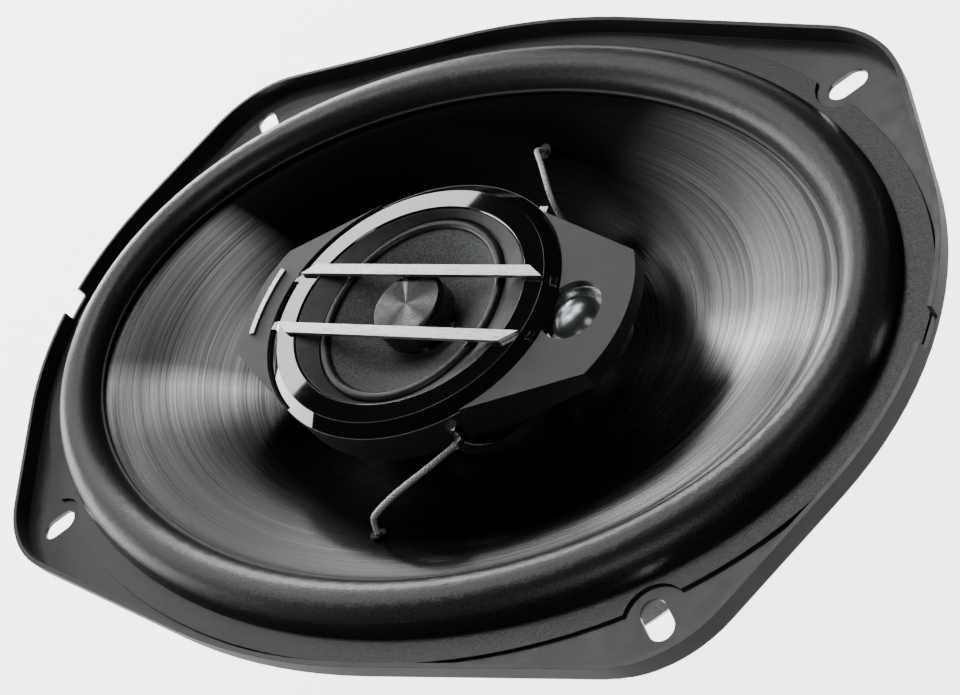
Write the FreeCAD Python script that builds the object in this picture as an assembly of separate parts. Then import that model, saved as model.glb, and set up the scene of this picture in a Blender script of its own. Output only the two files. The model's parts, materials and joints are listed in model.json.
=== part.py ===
"""Oval three-way coaxial car loudspeaker, 6 x 9 inch frame size.

Millimetres. The origin is the centre of the flange's rear face, the face that
lies on the car's panel. +X runs along the long axis towards the tweeter, +Y
across, and +Z out of the front. The magnet's back plate is the lowest point.
"""
import os
import math
import FreeCAD, Part

V = FreeCAD.Vector
os.makedirs("parts", exist_ok=True)

# flange: a flat oval plate with a forward-folded rim, four diagonal screw slots
FLANGE_A = 118.5            # half length over the rim
FLANGE_B = 82.0             # half width over the rim
END_R = 70.6                # radius of the two short ends
SIDE_R = 166.3              # radius of the two long sides
CORNER_R = 27.5             # radius of the four corners
CORNER_X = 73.3
CORNER_Y = 44.7
SHEET = 1.0                 # steel thickness
RIM_TOP = 5.4               # front edge of the folded rim
RIM_NOTCH_W = 7.4
RIM_NOTCH_DEPTH = 2.9
SLOT_X = 83.5
SLOT_Y = 59.5
SLOT_W = 5.3
SLOT_L = 8.8

# basket: outer half axes of the bowl at three heights, then the round cup
MOUTH = (109.0, 73.0, 0.0)
KNEE = (107.0, 71.0, -10.0)
LEDGE_R = 57.0
LEDGE_Z = -42.0
BOWL_WALL = 1.2
CUP_R = 48.0
CUP_Z = -55.0
WINDOW_OUT = (100.0, 67.5)
WINDOW_IN = (64.0, 60.0)
RIVET_Y = 63.5              # the two rivets that hold the terminal board to its tab

# woofer cone, surround and spider
CONE_A = 100.5
CONE_B = 64.5
CONE_EDGE_Z = 3.0
CONE_MID = (62.0, 42.0, -8.0)   # half way up, where the curved cone is shallower
NECK_R = 13.5
NECK_Z = -33.0
CONE_WALL = 0.9
ROLL_A = 105.0              # half axes of the roll's centre line
ROLL_B = 68.8
ROLL_R = 5.9                # outside radius of the half roll
RUBBER = 0.8
LAND_A = 116.8
LAND_B = 79.7
FORMER_R = 13.3
FORMER_IN = 12.9
FORMER_TOP = -30.0
FORMER_END = -64.0
SPIDER_R = 54.0

# magnet system
PLATE_R = 41.0
PLATE_TOP = -55.0
PLATE_T = 5.0
GAP_R = 14.5
MAGNET_R = 45.0
MAGNET_IN = 24.0
MAGNET_T = 14.0
YOKE_T = 6.0
POLE_R = 12.5
POLE_TOP = -54.0

# bridge: centre post, housing, trim ring and two bars
POST_R = 8.5
POST_TOP = -17.0
COLLAR_A = 38.9
COLLAR_B = 32.9
BRIDGE_FACE = 7.2
COLLAR_TOP = 6.4
COLLAR_END = -2.0
RING_A = 35.2
RING_B = 30.0
RING_FACE = 8.4
THROAT_A = 30.3
THROAT_B = 25.3
BAR_Y = 6.6
BAR_W = 2.7
BAR_TOP = 9.5

# midrange and tweeter
MID_R = 21.2                # visible cone radius
MID_EDGE_Z = 6.2
MID_NECK_R = 7.6
MID_NECK_Z = -1.0
MID_ROLL_R = 1.2
MID_FRAME_R = 25.4
BULLET_R = 9.0
BULLET_FACE = 8.0
TWEETER_X = 43.4
TWEETER_HOLE = 7.0
DOME_R = 5.6
DOME_Z = 4.9

# flexible leads from the cone to the bridge
LEAD_D = 1.4
TAB_Z = 3.6                 # underside of each solder tab's flat arm
EYELET_X = 9.5
EYELET_Y = 49.4
EYELET_HEAD = 0.7
LEAD_RISE = 3.4             # first straight run, square to the cone
LEAD_LOW = [(12.0, -47.0, 2.5), (15.6, -44.8, 4.6), (19.3, -41.5, 5.5), (22.2, -37.6, 5.1),
            (23.5, -33.3, 3.5), (23.2, -29.5, 1.0)]
LEAD_HIGH = [(13.0, 43.5, 1.4), (16.6, 39.4, 3.0), (19.6, 35.5, 3.6), (21.8, 31.9, 2.6),
             (23.0, 29.8, 0.0), (22.8, 29.2, -3.4)]


def save(name, shape):
    """Write one node and print its volume."""
    solids = shape.Solids
    shape = solids[0] if len(solids) == 1 else Part.makeCompound(solids)
    shape.exportStep("parts/" + name + ".step")
    print("%-20s solids %d valid %s volume %.1f" % (name, len(solids), shape.isValid(), shape.Volume))
    return shape


def oval(a, b, z):
    """Closed wire: an ellipse, or a circle where the half axes are equal."""
    if abs(a - b) < 1e-9:
        return Part.Wire([Part.makeCircle(a, V(0, 0, z))])
    return Part.Wire([Part.Ellipse(V(0, 0, z), a, b).toShape()])


def oval_disc(a, b, z, height):
    return Part.Face(oval(a, b, z)).extrude(V(0, 0, height))


def frustum(low, high):
    """Solid between two ovals, each (half length, half width, z)."""
    return Part.makeLoft([oval(*low), oval(*high)], True, True)


def cone_block(drop):
    """Everything inside the cone's front face, lowered by drop."""
    neck = oval(NECK_R, NECK_R, NECK_Z - drop)
    middle = oval(CONE_MID[0], CONE_MID[1], CONE_MID[2] - drop)
    edge = oval(CONE_A, CONE_B, CONE_EDGE_Z - drop)
    return Part.makeLoft([neck, middle, edge], True, False)


def disc(r, z, height, x=0.0, y=0.0):
    return Part.makeCylinder(r, height, V(x, y, z))


def turned(points):
    """Solid of revolution about Z from (radius, z) corners."""
    corners = [V(r, 0, z) for r, z in points]
    face = Part.Face(Part.makePolygon(corners + corners[:1]))
    return face.revolve(V(0, 0, 0), V(0, 0, 1), 360)


def prism(points, z, height):
    """Solid with straight sides from (x, y) corners."""
    corners = [V(x, y, z) for x, y in points]
    return Part.Face(Part.makePolygon(corners + corners[:1])).extrude(V(0, 0, height))


def block(x, y, z):
    """Box from three (low, high) pairs."""
    return Part.makeBox(x[1] - x[0], y[1] - y[0], z[1] - z[0], V(x[0], y[0], z[0]))


def fused(shapes):
    return shapes[0].multiFuse(shapes[1:]) if len(shapes) > 1 else shapes[0]


# ---------------------------------------------------------------- flange
def tangent_angle(c1, r1, c2, r2, side):
    """Direction of the outward normal of the line that touches two circles."""
    dx = c2[0] - c1[0]
    dy = c2[1] - c1[1]
    return math.atan2(dy, dx) + side * math.acos((r1 - r2) / math.hypot(dx, dy))


def flange_face(inset, z):
    """The flange outline, moved inwards by inset."""
    end = (FLANGE_A - END_R, 0.0)
    corner = (CORNER_X, CORNER_Y)
    side = (0.0, FLANGE_B - SIDE_R)
    low = tangent_angle(end, END_R, corner, CORNER_R, -1)
    high = tangent_angle(side, SIDE_R, corner, CORNER_R, 1)

    def on(centre, radius, angle, sx, sy):
        x = centre[0] + (radius - inset) * math.cos(angle)
        y = centre[1] + (radius - inset) * math.sin(angle)
        return V(sx * x, sy * y, z)

    def arc(centre, radius, a0, a1, sx, sy):
        middle = on(centre, radius, (a0 + a1) / 2, sx, sy)
        return Part.Arc(on(centre, radius, a0, sx, sy), middle, on(centre, radius, a1, sx, sy)).toShape()

    edges = []
    for sx, sy in ((1, 1), (-1, 1), (-1, -1), (1, -1)):
        edges.append(arc(corner, CORNER_R, low, high, sx, sy))
        edges.append(Part.makeLine(on(end, END_R, low, sx, sy), on(corner, CORNER_R, low, sx, sy)))
        edges.append(Part.makeLine(on(corner, CORNER_R, high, sx, sy), on(side, SIDE_R, high, sx, sy)))
    for s in (1, -1):
        edges.append(arc(end, END_R, -low, low, s, 1))
        edges.append(arc(side, SIDE_R, high, math.pi - high, 1, s))
    wire = Part.Wire(Part.__sortEdges__(edges))
    return Part.Face(wire)


def screw_slots(z, height):
    """Four slots, each pointing at its own corner."""
    half = (SLOT_L - SLOT_W) / 2
    r = SLOT_W / 2
    tools = []
    for sx in (1, -1):
        for sy in (1, -1):
            slot = fused([disc(r, z, height, -half), disc(r, z, height, half),
                          block((-half, half), (-r, r), (z, z + height))])
            slot.rotate(V(0, 0, 0), V(0, 0, 1), 45 * sx * sy)
            slot.translate(V(sx * SLOT_X, sy * SLOT_Y, 0))
            tools.append(slot)
    return tools


def window_tools():
    """Eight upright prisms that open the bowl between its spokes."""
    ring = oval_disc(WINDOW_OUT[0], WINDOW_OUT[1], LEDGE_Z + 1.0, 33.0)
    ring = ring.cut(oval_disc(WINDOW_IN[0], WINDOW_IN[1], LEDGE_Z, 40.0))
    spokes = [block((-130, 130), (-12, 12), (-60, 10)), block((-14, 14), (-90, 90), (-60, 10))]
    for angle in (38, -38):
        spoke = block((-130, 130), (-7, 7), (-60, 10))
        spoke.rotate(V(0, 0, 0), V(0, 0, 1), angle)
        spokes.append(spoke)
    return ring.cut(fused(spokes))


def basket_flange():
    """Flat flange with its folded rim: the upper part of the stamped basket."""
    tub = flange_face(0, 0).extrude(V(0, 0, RIM_TOP))
    bend = [e for e in tub.Edges if max(v.Point.z for v in e.Vertexes) < 0.01]
    tub = tub.makeFillet(1.4, bend)
    flange = tub.cut(flange_face(SHEET, SHEET).extrude(V(0, 0, RIM_TOP)))
    for s in (1, -1):
        notch = block((-6, 6), (-RIM_NOTCH_W / 2, RIM_NOTCH_W / 2), (RIM_TOP - RIM_NOTCH_DEPTH, RIM_TOP + 1))
        notch.translate(V(s * FLANGE_A, 0, 0))
        flange = flange.cut(notch)
    mouth = oval_disc(MOUTH[0], MOUTH[1], -1, 4)
    return flange.cut(fused([mouth] + screw_slots(-1, 4)))


def basket_bowl():
    """Lower part of the same stamping: windowed bowl, spider ledge, cup and terminal tab."""
    w = BOWL_WALL
    outside = fused([frustum((KNEE[0], KNEE[1], KNEE[2]), (MOUTH[0], MOUTH[1], 0)),
                     frustum((LEDGE_R, LEDGE_R, LEDGE_Z), KNEE)])
    outside = outside.fuse(oval_disc(MOUTH[0], MOUTH[1], 0, SHEET))
    mouth_in = (MOUTH[0] - w, MOUTH[1] - w, SHEET)
    knee_in = (KNEE[0] - w, KNEE[1] - w, KNEE[2])
    lower_in = frustum((LEDGE_R - w, LEDGE_R - w, LEDGE_Z), knee_in)
    bowl = outside.cut(frustum(knee_in, mouth_in).fuse(lower_in)).cut(window_tools())
    cup = turned([(LEDGE_R, LEDGE_Z), (LEDGE_R, LEDGE_Z + SHEET), (CUP_R - SHEET, LEDGE_Z + SHEET),
                  (CUP_R - SHEET, CUP_Z + SHEET), (20.0, CUP_Z + SHEET), (20.0, CUP_Z),
                  (CUP_R, CUP_Z), (CUP_R, LEDGE_Z)])
    tab = block((-12, 12), (55, 68), (LEDGE_Z, LEDGE_Z + SHEET)).cut(lower_in)
    holes = [disc(2.0, CUP_Z - 1, 3, x, y) for x, y in rivet_places()]
    holes = holes + [disc(1.6, LEDGE_Z - 1, 3, x, RIVET_Y) for x in (-8.5, 8.5)]
    return fused([bowl, cup, tab]).cut(fused(holes))


def rivet_places():
    return [(30 * math.cos(math.radians(a)), 30 * math.sin(math.radians(a))) for a in (45, 135, 225, 315)]


# ------------------------------------------------------- surround, cone, spider
def surround():
    """Rubber half roll with an inner lip on the cone and a flat land on the flange."""
    low = CONE_EDGE_Z - CONE_WALL
    r = ROLL_R
    t = RUBBER
    x = ROLL_A
    land = SHEET
    inner = x - r
    outer = x + r
    edges = [Part.makeLine(V(inner - 0.6, 0, low), V(inner + t, 0, low)),
             Part.Arc(V(inner + t, 0, low), V(x, 0, low + r - t), V(outer - t, 0, low)).toShape(),
             Part.makeLine(V(outer - t, 0, low), V(outer - t, 0, land)),
             Part.makeLine(V(outer - t, 0, land), V(outer, 0, land)),
             Part.makeLine(V(outer, 0, land), V(outer, 0, low)),
             Part.Arc(V(outer, 0, low), V(x, 0, low + r), V(inner, 0, low + 0.8)).toShape(),
             Part.makeLine(V(inner, 0, low + 0.8), V(inner - 0.6, 0, low + 0.8)),
             Part.makeLine(V(inner - 0.6, 0, low + 0.8), V(inner - 0.6, 0, low))]
    profile = Part.Wire(edges)
    roll = oval(ROLL_A, ROLL_B, low).makePipeShell([profile], True, True)
    flat = oval_disc(LAND_A, LAND_B, land, t)
    flat = flat.cut(oval_disc(ROLL_A + r - 0.4, ROLL_B + r - 0.4, land, t))
    for sx in (1, -1):
        flat = flat.cut(disc(0.8, 0, 4, sx * LAND_A, -2.6 * sx))
        for sy in (1, -1):
            flat = flat.cut(disc(6.6, 0, 4, sx * SLOT_X, sy * SLOT_Y))
            flat = flat.cut(disc(6.6, 0, 4, sx * (SLOT_X + 3), sy * (SLOT_Y + 3)))
    return roll.fuse(flat)


def cone():
    """Oval paper cone, from the surround down to the round neck."""
    body = cone_block(CONE_WALL).cut(cone_block(0)).cut(disc(FORMER_R, NECK_Z - 3, 6))
    for side in (1, -1):
        body = body.cut(eyelet_axis(side, 0.7, -4, 8))
    return body


def cone_normal():
    """Point on the cone's front face at an eyelet, and its outward direction."""
    inside = cone_block(0)

    def height(x, y):
        line = Part.makeLine(V(x, y, NECK_Z - 5), V(x, y, CONE_EDGE_Z - 0.5))
        return min(v.Point.z for v in line.common(inside).Vertexes)

    z = height(EYELET_X, EYELET_Y)
    slope_x = height(EYELET_X + 0.5, EYELET_Y) - z
    slope_y = height(EYELET_X, EYELET_Y + 0.5) - z
    return V(EYELET_X, EYELET_Y, z), V(-2 * slope_x, -2 * slope_y, 1).normalize()


def eyelet_frame(side):
    point, normal = CONE_POINT
    return V(point.x, side * point.y, point.z), V(normal.x, side * normal.y, normal.z)


def eyelet_axis(side, radius, start, length):
    point, normal = eyelet_frame(side)
    return Part.makeCylinder(radius, length, point + normal * start, normal)


def eyelet(side):
    """Brass rivet through the cone, with a head on each face."""
    heads = [eyelet_axis(side, 1.7, 0.02, EYELET_HEAD - 0.02), eyelet_axis(side, 1.5, -1.5, 0.6)]
    return fused([eyelet_axis(side, 0.7, -1.5, 2.0)] + heads).cut(cone())


def neck_ring():
    """Paper collar that joins the cone to the coil former."""
    ring = disc(15.6, NECK_Z - 0.5, 2.0).cut(disc(FORMER_R, -50, 40))
    return ring.common(cone_block(0))


def spider():
    """Corrugated fabric disc from the coil former to the basket's ledge."""
    z = LEDGE_Z + SHEET
    t = 0.5
    top = [(FORMER_R, z + 2.0), (15.5, z + 2.0), (18.0, z)]
    r = 18.0
    up = True
    while r < 43.0:
        r = r + 2.6
        top.append((r, z + 2.6 if up else z - 0.2))
        up = not up
    top = top + [(46.5, z), (SPIDER_R, z)]
    bottom = [(a, b) for a, b in top]
    return turned([(a, b + t) for a, b in top] + bottom[::-1])


def coil_former():
    return disc(FORMER_R, FORMER_END, FORMER_TOP - FORMER_END).cut(disc(FORMER_IN, FORMER_END - 1, 60))


def coil_winding():
    return disc(14.05, -63.5, 12.0).cut(disc(FORMER_R, -70, 30))


# ---------------------------------------------------------- magnet system
def top_plate():
    plate = disc(PLATE_R, PLATE_TOP - PLATE_T, PLATE_T).cut(disc(GAP_R, -70, 30))
    return plate.cut(fused([disc(2.0, PLATE_TOP - 3, 4, x, y) for x, y in rivet_places()]))


def magnet():
    top = PLATE_TOP - PLATE_T
    ring = disc(MAGNET_R, top - MAGNET_T, MAGNET_T)
    edges = [e for e in ring.Edges if len(e.Vertexes) == 1 or e.Curve.TypeId == "Part::GeomCircle"]
    return ring.makeChamfer(0.8, edges).cut(disc(MAGNET_IN, top - 20, 40))


def yoke():
    """Back plate and pole in one forging, drilled for the bridge screw."""
    top = PLATE_TOP - PLATE_T - MAGNET_T
    plate = disc(PLATE_R, top - YOKE_T, YOKE_T)
    edges = [e for e in plate.Edges if e.Curve.TypeId == "Part::GeomCircle"]
    plate = plate.makeChamfer(0.8, edges)
    body = plate.fuse(disc(POLE_R, top, POLE_TOP - top))
    return body.cut(disc(2.2, top - 20, 60)).cut(disc(5.0, top - YOKE_T, 4.0))


def basket_rivets():
    rivets = []
    for x, y in rivet_places():
        rivets.append(disc(2.0, PLATE_TOP - 3, 4.0, x, y).fuse(disc(3.6, CUP_Z + SHEET, 1.0, x, y)))
    return Part.makeCompound(rivets)


def bridge_screw():
    """Machine screw from the back plate up into the centre post."""
    bottom = PLATE_TOP - PLATE_T - MAGNET_T - YOKE_T
    head = disc(4.0, bottom + 1.4, 2.6).cut(block((-2.6, 2.6), (-0.5, 0.5), (bottom, bottom + 2.6)))
    return head.fuse(disc(2.0, bottom + 4.0, 32.0))


# ------------------------------------------------------------- terminals
def terminal_board():
    board = block((-13, 13), (57.5, 76), (LEDGE_Z - 1.6, LEDGE_Z))
    for x in (-8.5, 8.5):
        board = board.cut(disc(1.6, LEDGE_Z - 3, 6, x, RIVET_Y))
    return board


def terminal_rivets():
    rivets = []
    for x in (-8.5, 8.5):
        shank = disc(1.6, LEDGE_Z - 1.6, 1.6 + SHEET, x, RIVET_Y)
        head = disc(2.8, LEDGE_Z + SHEET, 0.8, x, RIVET_Y)
        tail = disc(2.8, LEDGE_Z - 2.4, 0.8, x, RIVET_Y)
        rivets.append(fused([shank, head, tail]))
    return Part.makeCompound(rivets)


def terminal(x, width):
    """Flat blade under the board, with a bevelled tip."""
    z = LEDGE_Z - 1.6
    h = width / 2
    edge = 76.0
    outline = [(x - h, 68.0), (x + h, 68.0), (x + h, edge + 5.0), (x + h - 0.8, edge + 6.0),
               (x - h + 0.8, edge + 6.0), (x - h, edge + 5.0)]
    return prism(outline, z - 0.8, 0.8).cut(disc(0.8, z - 3, 5, x, edge + 3.0))


def capacitor():
    return Part.makeCylinder(4.0, 16.0, V(-8, 60.0, LEDGE_Z - 1.6 - 4.0 - 0.8), V(1, 0, 0))


# ---------------------------------------------------------------- bridge
def centre_post():
    body = turned([(0, POLE_TOP), (11.0, POLE_TOP), (11.0, POLE_TOP + 2.5), (POST_R, POLE_TOP + 5.0),
                   (POST_R, POST_TOP), (0, POST_TOP)])
    return body.cut(disc(2.0, POLE_TOP - 1, 11.2))


def bridge_plan():
    """Six-sided plan of the bridge: two curved ends joined by straight edges."""
    left = Part.Arc(V(-44.3, 14.4, 0), V(-48.0, 0, 0), V(-44.3, -14.4, 0)).toShape()
    right = Part.Arc(V(52.8, -14.6, 0), V(56.8, 0, 0), V(52.8, 14.6, 0)).toShape()
    corners = [V(-44.3, -14.4, 0), V(-22.0, -27.2, 0), V(22.0, -26.0, 0), V(52.8, -14.6, 0)]
    edges = [left, right]
    for a, b in zip(corners, corners[1:]):
        edges.append(Part.makeLine(a, b))
        edges.append(Part.makeLine(V(a.x, -a.y, 0), V(b.x, -b.y, 0)))
    face = Part.Face(Part.Wire(Part.__sortEdges__(edges)))
    face.translate(V(0, 0, COLLAR_END))
    return face


def bridge_housing():
    """Moulded bridge: tapered wings, oval collar and a dish down to the post."""
    wings = bridge_plan().extrude(V(0, 0, BRIDGE_FACE - COLLAR_END))
    keep = [(-60, 4.0), (-34, COLLAR_END), (34, COLLAR_END), (60, 4.4), (60, 12), (-60, 12)]
    face = Part.Face(Part.makePolygon([V(x, -50, z) for x, z in keep + keep[:1]]))
    wings = wings.common(face.extrude(V(0, 100, 0)))
    wings = wings.cut(oval_disc(COLLAR_A, COLLAR_B, COLLAR_TOP, 5))
    collar = oval_disc(COLLAR_A, COLLAR_B, COLLAR_END, COLLAR_TOP - COLLAR_END)
    dish = frustum((17.5, 17.5, POST_TOP), (COLLAR_A, COLLAR_B, COLLAR_END))
    body = fused([wings, collar, dish])
    well = disc(MID_FRAME_R, -7.0, 20).fuse(disc(15.3, -15.6, 10))
    recess = oval_disc(35.6, 30.4, 5.4, 6)
    cavity = disc(8.6, -3.6, 7.7, TWEETER_X).fuse(disc(TWEETER_HOLE, 4.0, 6, TWEETER_X))
    return body.cut(well).cut(recess).cut(cavity)


def trim_ring():
    """Oval ring with a flat face and a sloped outer flank."""
    flank = frustum((COLLAR_A - 0.15, COLLAR_B - 0.15, COLLAR_TOP), (RING_A, RING_B, RING_FACE))
    root = oval_disc(35.5, 30.3, 5.4, COLLAR_TOP - 5.4)
    body = flank.fuse(root)
    for sx in (1, -1):
        for sy in (1, -1):
            lug = block((33.5, 37.4), (5.6, 7.6), (COLLAR_TOP, 7.6))
            if sx < 0:
                lug = lug.mirror(V(0, 0, 0), V(1, 0, 0))
            if sy < 0:
                lug = lug.mirror(V(0, 0, 0), V(0, 1, 0))
            body = body.fuse(lug)
    chamfer = frustum((THROAT_A, THROAT_B, 8.1), (THROAT_A + 0.3, THROAT_B + 0.3, RING_FACE))
    throat = oval_disc(THROAT_A, THROAT_B, 0, 8.1).fuse(chamfer)
    return body.cut(throat)


def funnel():
    """Matte flare between the trim ring and the round midrange."""
    body = oval_disc(THROAT_A - 0.1, THROAT_B - 0.1, 5.4, 2.6)
    flare = frustum((23.9, 23.9, 6.3), (THROAT_A - 0.4, THROAT_B - 0.2, 8.02))
    return body.cut(flare).cut(disc(23.9, 5, 2))


def bar(side):
    """Flat trim bar across the midrange, with mitred ends."""
    inner = side * BAR_Y
    outer = side * (BAR_Y + BAR_W)
    points = [(-34.6, inner), (-30.4, outer), (30.4, outer), (34.6, inner)]
    return prism(points, RING_FACE, BAR_TOP - RING_FACE)


def bar_rib(side):
    """Two dark stiffening ribs under one bar, either side of the bullet."""
    y = sorted((side * (BAR_Y + 0.4), side * (BAR_Y + BAR_W - 0.5)))
    return Part.makeCompound([block(x, y, (8.02, RING_FACE)) for x in ((-28.5, -10.8), (10.8, 28.5))])


def badge_strip():
    """Plain raised strip that follows the left end of the bridge."""
    outer = disc(44.0, BRIDGE_FACE, 0.6, -0.6).cut(disc(42.6, 0, 20, -0.6))
    wedge = prism([(0, 0), (-60, 12.5), (-60, -12.5)], 0, 20)
    return outer.common(wedge)


# -------------------------------------------------------------- midrange
def mid_frame():
    """Pressed cup that carries the midrange surround."""
    r = MID_FRAME_R - 0.02
    return turned([(9.5, -6.0), (9.5, -5.0), (r - 0.8, -5.0), (r - 0.8, 4.6), (23.0, 4.6), (23.0, 5.4),
                   (r, 5.4), (r, -6.0)])


def mid_surround():
    """Half roll round the midrange cone."""
    r = MID_ROLL_R
    t = 0.35
    c = MID_R + r
    z = MID_EDGE_Z - 0.4
    edges = [Part.Arc(V(c - r, 0, z), V(c, 0, z + r), V(c + r, 0, z)).toShape(),
             Part.makeLine(V(c + r, 0, z), V(c + r, 0, 5.4)),
             Part.makeLine(V(c + r, 0, 5.4), V(c + r - t, 0, 5.4)),
             Part.makeLine(V(c + r - t, 0, 5.4), V(c + r - t, 0, z)),
             Part.Arc(V(c + r - t, 0, z), V(c, 0, z + r - t), V(c - r + t, 0, z)).toShape(),
             Part.makeLine(V(c - r + t, 0, z), V(c - r, 0, z))]
    return Part.Face(Part.Wire(edges)).revolve(V(0, 0, 0), V(0, 0, 1), 360)


def mid_cone():
    t = 0.4
    z = MID_EDGE_Z - 0.4
    r = MID_R + 0.3
    return turned([(MID_NECK_R, MID_NECK_Z), (r, z), (r, z - t), (MID_NECK_R, MID_NECK_Z - t)])


def mid_coil_former():
    return disc(MID_NECK_R, -10.0, 9.4).cut(disc(7.35, -12, 16))


def mid_coil():
    return disc(8.1, -10.0, 4.0).cut(disc(MID_NECK_R, -12, 16))


def mid_top_plate():
    return disc(15.0, -8.0, 2.0).cut(disc(8.6, -9, 5))


def mid_magnet():
    return disc(15.0, -13.6, 5.6).cut(disc(10.0, -15, 10))


def mid_yoke():
    return disc(14.0, -15.6, 2.0).fuse(disc(6.9, -13.6, 7.8))


def bullet():
    """Phase plug: flat spun face, bright chamfer and a dark barrel."""
    return turned([(0, BULLET_FACE), (BULLET_R - 0.8, BULLET_FACE), (BULLET_R, BULLET_FACE - 0.8),
                   (BULLET_R, 2.2), (3.6, 2.2), (3.6, -5.8), (0, -5.8)])


# --------------------------------------------------------------- tweeter
def at_tweeter(shape):
    shape.translate(V(TWEETER_X, 0, 0))
    return shape


def tweeter_cup():
    """Steel pot that is also the outer pole."""
    return at_tweeter(turned([(0, -3.6), (8.6, -3.6), (8.6, 4.1), (8.0, 4.1), (8.0, 3.0), (6.4, 3.0),
                              (6.4, -2.6), (0, -2.6)]))


def tweeter_magnet():
    return at_tweeter(disc(5.0, -2.6, 4.0))


def tweeter_pole():
    return at_tweeter(disc(5.1, 1.4, 1.4))


def tweeter_trim():
    """Bright seat ring under the tweeter hole."""
    return at_tweeter(turned([(6.6, 3.0), (8.0, 3.0), (8.0, 4.1), (6.98, 4.1), (6.98, 5.6), (6.6, 5.6)]))


def tweeter_dome():
    """Small hard dome with its coil skirt."""
    radius = 7.9
    centre = DOME_Z + 2.3 - radius
    shell = Part.makeSphere(radius, V(0, 0, centre)).cut(Part.makeSphere(radius - 0.25, V(0, 0, centre)))
    cap = shell.common(disc(DOME_R, DOME_Z - 0.05, 5))
    skirt = disc(DOME_R, 1.2, DOME_Z - 1.2).cut(disc(DOME_R - 0.2, 0, 8))
    return at_tweeter(cap.fuse(skirt))


def tweeter_coil():
    return at_tweeter(disc(5.95, 1.2, 1.6).cut(disc(DOME_R, 0, 8)))


def tweeter_surround():
    top = DOME_Z - 0.45
    bottom = DOME_Z - 0.7
    return at_tweeter(turned([(DOME_R, bottom), (DOME_R, top), (6.6, top), (6.6, bottom)]))


# ------------------------------------------------------------------ leads
def tube(points, diameter):
    """Round tube along straight runs joined by tangent arcs."""
    pts = [V(*p) for p in points]
    path = []
    radii = []
    here = pts[0]
    length = 0.0
    for i in range(1, len(pts) - 1):
        back = (pts[i - 1] - pts[i])
        on = (pts[i + 1] - pts[i])
        cut = 0.45 * min(back.Length, on.Length)
        back.normalize()
        on.normalize()
        half = (math.pi - back.getAngle(on)) / 2
        radius = cut / math.tan(half)
        start = pts[i] + back * cut
        end = pts[i] + on * cut
        centre = pts[i] + (back + on).normalize() * (radius / math.cos(half))
        middle = centre + (pts[i] - centre).normalize() * radius
        path.append(Part.makeLine(here, start))
        path.append(Part.Arc(start, middle, end).toShape())
        length = length + (start - here).Length + radius * 2 * half
        radii.append(round(radius, 1))
        here = end
    path.append(Part.makeLine(here, pts[-1]))
    length = length + (pts[-1] - here).Length
    spine = Part.Wire(path)
    section = Part.Wire([Part.makeCircle(diameter / 2, pts[0], pts[1] - pts[0])])
    solid = spine.makePipeShell([section], True, False)
    wanted = math.pi * diameter ** 2 / 4 * length
    print("lead length %.2f radii %s volume %.2f of %.2f" % (length, radii, solid.Volume, wanted))
    return solid


def lead_route(side):
    """Corner points of one lead, from the eyelet's head to the solder tab."""
    point, normal = eyelet_frame(side)
    first = point + normal * EYELET_HEAD
    second = first + normal * LEAD_RISE
    rest = LEAD_HIGH if side > 0 else LEAD_LOW
    return [tuple(first), tuple(second)] + rest


def lead_tab(side):
    """Bent tab from the bridge's flank, with a crimp that takes the lead's end."""
    route = lead_route(side)
    end = V(*route[-1])
    along = (end - V(*route[-2])).normalize()
    crimp = Part.makeCylinder(0.95, 1.8, end, along)
    centre = end + along * 1.3
    across = (centre.x - 1.1, centre.x + 1.1)
    face = centre.y - side * 0.75
    leg = block(across, sorted((face, face - side * 0.6)), (centre.z, TAB_Z))
    arm = block(across, sorted((face, side * 22.0)), (TAB_Z, TAB_Z + 0.6))
    return fused([crimp, leg, arm]).cut(bridge_housing())


CONE_POINT = cone_normal()
NODES = {
    "basket_flange": basket_flange, "basket_bowl": basket_bowl, "surround": surround,
    "cone": cone, "neck_ring": neck_ring, "spider": spider,
    "coil_former": coil_former, "coil_winding": coil_winding, "top_plate": top_plate, "magnet": magnet,
    "yoke": yoke, "basket_rivets": basket_rivets, "bridge_screw": bridge_screw,
    "terminal_board": terminal_board, "terminal_rivets": terminal_rivets, "capacitor": capacitor,
    "centre_post": centre_post, "bridge_housing": bridge_housing, "trim_ring": trim_ring,
    "funnel": funnel, "badge_strip": badge_strip, "mid_frame": mid_frame, "mid_surround": mid_surround,
    "mid_cone": mid_cone, "mid_coil_former": mid_coil_former, "mid_coil": mid_coil,
    "mid_top_plate": mid_top_plate, "mid_magnet": mid_magnet, "mid_yoke": mid_yoke, "bullet": bullet,
    "tweeter_cup": tweeter_cup, "tweeter_magnet": tweeter_magnet, "tweeter_pole": tweeter_pole,
    "tweeter_trim": tweeter_trim, "tweeter_dome": tweeter_dome, "tweeter_coil": tweeter_coil,
    "tweeter_surround": tweeter_surround,
}
for node, make in NODES.items():
    save(node, make())
save("terminal_positive", terminal(4.6, 6.3))
save("terminal_negative", terminal(-4.6, 4.8))
save("bar_upper", bar(1))
save("bar_lower", bar(-1))
save("bar_ribs_upper", bar_rib(1))
save("bar_ribs_lower", bar_rib(-1))
save("eyelet_upper", eyelet(1))
save("eyelet_lower", eyelet(-1))
save("lead_tab_upper", lead_tab(1))
save("lead_tab_lower", lead_tab(-1))
save("lead_upper", tube(lead_route(1), LEAD_D))
save("lead_lower", tube(lead_route(-1), LEAD_D))
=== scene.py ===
import json
import math
import bpy
from mathutils import Matrix, Vector

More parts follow.
